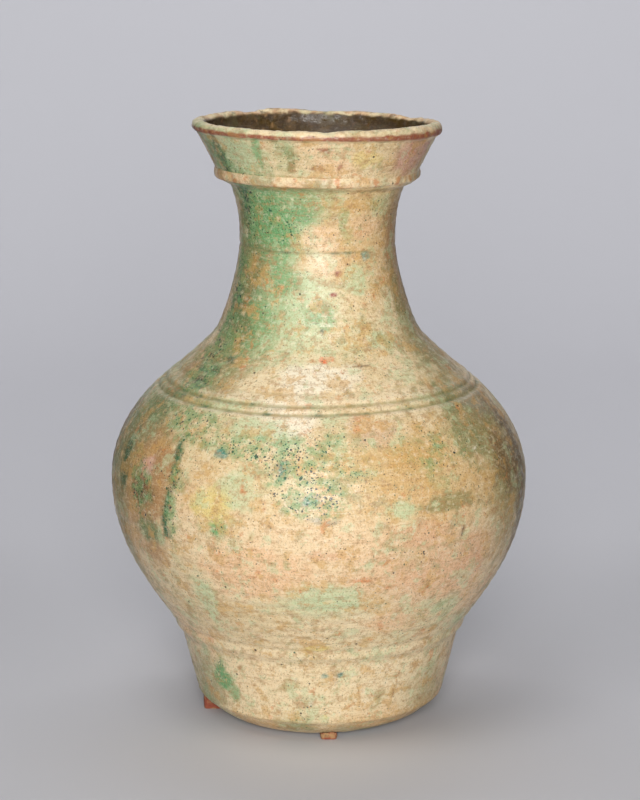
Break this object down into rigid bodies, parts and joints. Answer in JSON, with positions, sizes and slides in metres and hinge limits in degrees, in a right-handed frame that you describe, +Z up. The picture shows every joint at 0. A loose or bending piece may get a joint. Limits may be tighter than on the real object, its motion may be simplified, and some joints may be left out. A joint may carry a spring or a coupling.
{
  "type": "jar",
  "caption": "Round-bellied earthenware jar with a tapering flat-based foot, waisted neck, cupped mouth with a raised collar, and turned lines on the shoulder.",
  "frame": {"origin": "on the surface that the jar stands on, under the middle of its mouth and belly", "axes": "+Z up through the mouth, which is also the axis that every wall is turned about; -Y faces the front spur"},
  "size_m": [0.2434, 0.2434, 0.353],
  "materials": {
    "body_glaze": "weathered lead glaze, cream and buff with green and olive patches, semi-gloss",
    "rim_glaze": "thin worn glaze, buff over red-brown clay, semi-gloss",
    "bare_clay": "unglazed red earthenware, matt"
  },
  "bodies": {
    "root": {"base_slab": "body_glaze", "foot_wall": "body_glaze", "lower_body": "body_glaze", "upper_body": "body_glaze", "neck": "body_glaze", "mouth_cup": "body_glaze", "mouth_collar": "rim_glaze", "lip_roll": "rim_glaze", "kiln_spur_front": "bare_clay", "kiln_spur_left": "bare_clay", "kiln_spur_right": "bare_clay"}
  },
  "joints": []
}
